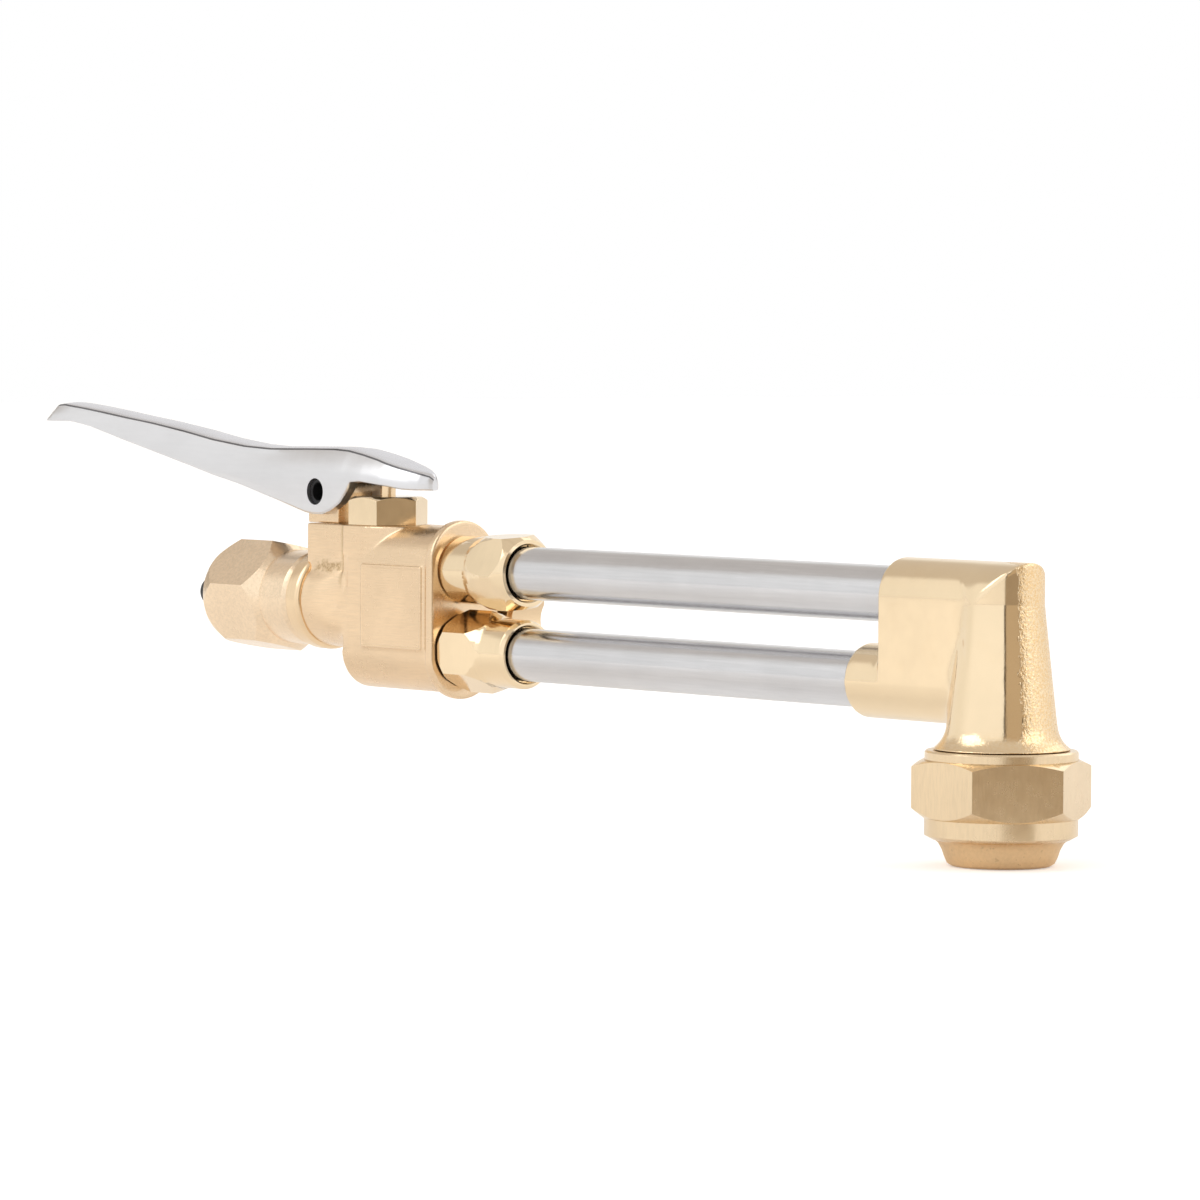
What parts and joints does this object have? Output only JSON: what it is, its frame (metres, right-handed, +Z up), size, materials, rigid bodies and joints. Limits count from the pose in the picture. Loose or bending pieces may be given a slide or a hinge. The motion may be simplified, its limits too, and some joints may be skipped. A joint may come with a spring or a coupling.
{
  "type": "oxy-fuel cutting attachment",
  "caption": "Squeeze-lever cutting attachment for a gas torch handle: brass valve body, twin steel tubes and a right-angle head with a tip nut.",
  "frame": {"origin": "on the coupling axis, in the plane of the coupling nut's rear mouth, on the tail tube that plugs into the torch handle", "axes": "+X runs along the tubes from the coupling to the head, +Z is up on the lever's side with the tip pointing down, +Y is the preheat knob's side"},
  "size_m": [0.2839, 0.0355, 0.072],
  "materials": {
    "cast_brass": "cast, soft satin",
    "machined_brass": "turned, satin",
    "bright_brass": "polished",
    "rough_brass": "sand cast, matte",
    "steel_tube": "brushed",
    "lever_metal": "polished die casting",
    "black_steel": "black oxide",
    "bright_steel": "bright plated",
    "rubber": "moulded, matte",
    "black_nose": "moulded, matte"
  },
  "bodies": {
    "torch_body": {"body": "cast_brass", "retaining_ring": "machined_brass", "tail_cone": "machined_brass", "tail_cone_seal": "rubber", "tail_tube_seal": "rubber", "tail_nose": "black_nose", "valve_cap_nut": "bright_brass", "valve_packing": "rubber", "valve_spring": "bright_steel", "valve_seat": "machined_brass", "lever_post": "cast_brass", "lever_pin": "black_steel", "upper_tube_nut": "bright_brass", "lower_tube_nut": "bright_brass", "upper_tube": "steel_tube", "lower_tube": "steel_tube", "upper_ferrule": "machined_brass", "lower_ferrule": "machined_brass", "injector_nozzle": "machined_brass", "head": "bright_brass", "preheat_gland_nut": "machined_brass", "preheat_packing": "rubber"},
    "coupling_nut": {"coupling_nut": "machined_brass"},
    "lever": {"lever": "lever_metal"},
    "valve_stem": {"valve_stem": "machined_brass", "stem_seat_disc": "rubber", "stem_button": "bright_steel"},
    "tip_nut": {"tip_nut": "rough_brass"},
    "preheat_stem": {"preheat_stem": "machined_brass"},
    "preheat_knob": {"preheat_knob": "machined_brass", "knob_screw": "bright_steel"}
  },
  "joints": [
    {"name": "lever_hinge", "type": "hinge", "parent": "torch_body", "child": "lever", "pos_m": [0.031, 0, 0.0201], "axis": [0, -1, 0], "range_deg": [0, 8], "stiffness_Nm_per_rad": 1, "springref_deg": -8.02},
    {"name": "valve_stem_slide", "type": "slide", "parent": "torch_body", "child": "valve_stem", "axis": [0, 0, 1], "range_m": [0, 0.0021], "deforming": ["valve_spring"]},
    {"name": "coupling_nut_turn", "type": "hinge", "parent": "torch_body", "child": "coupling_nut", "pos_m": [0.012, 0, 0], "axis": [1, 0, 0], "continuous": true},
    {"name": "tip_nut_turn", "type": "hinge", "parent": "torch_body", "child": "tip_nut", "pos_m": [0.208, 0, -0.025], "axis": [0, 0, 1], "continuous": true},
    {"name": "preheat_stem_slide", "type": "slide", "parent": "torch_body", "child": "preheat_stem", "axis": [0, 1, 0], "range_m": [0, 0.0012]},
    {"name": "preheat_knob_turn", "type": "hinge", "parent": "preheat_stem", "child": "preheat_knob", "pos_m": [0.0565, 0.017, -0.0005], "axis": [0, 1, 0], "range_deg": [0, 540]}
  ],
  "couplings": [
    {"joint": "valve_stem_slide", "follows": "lever_hinge", "m_per_rad": 0.014525},
    {"joint": "preheat_knob_turn", "follows": "preheat_stem_slide", "rad_per_m": 7854}
  ]
}
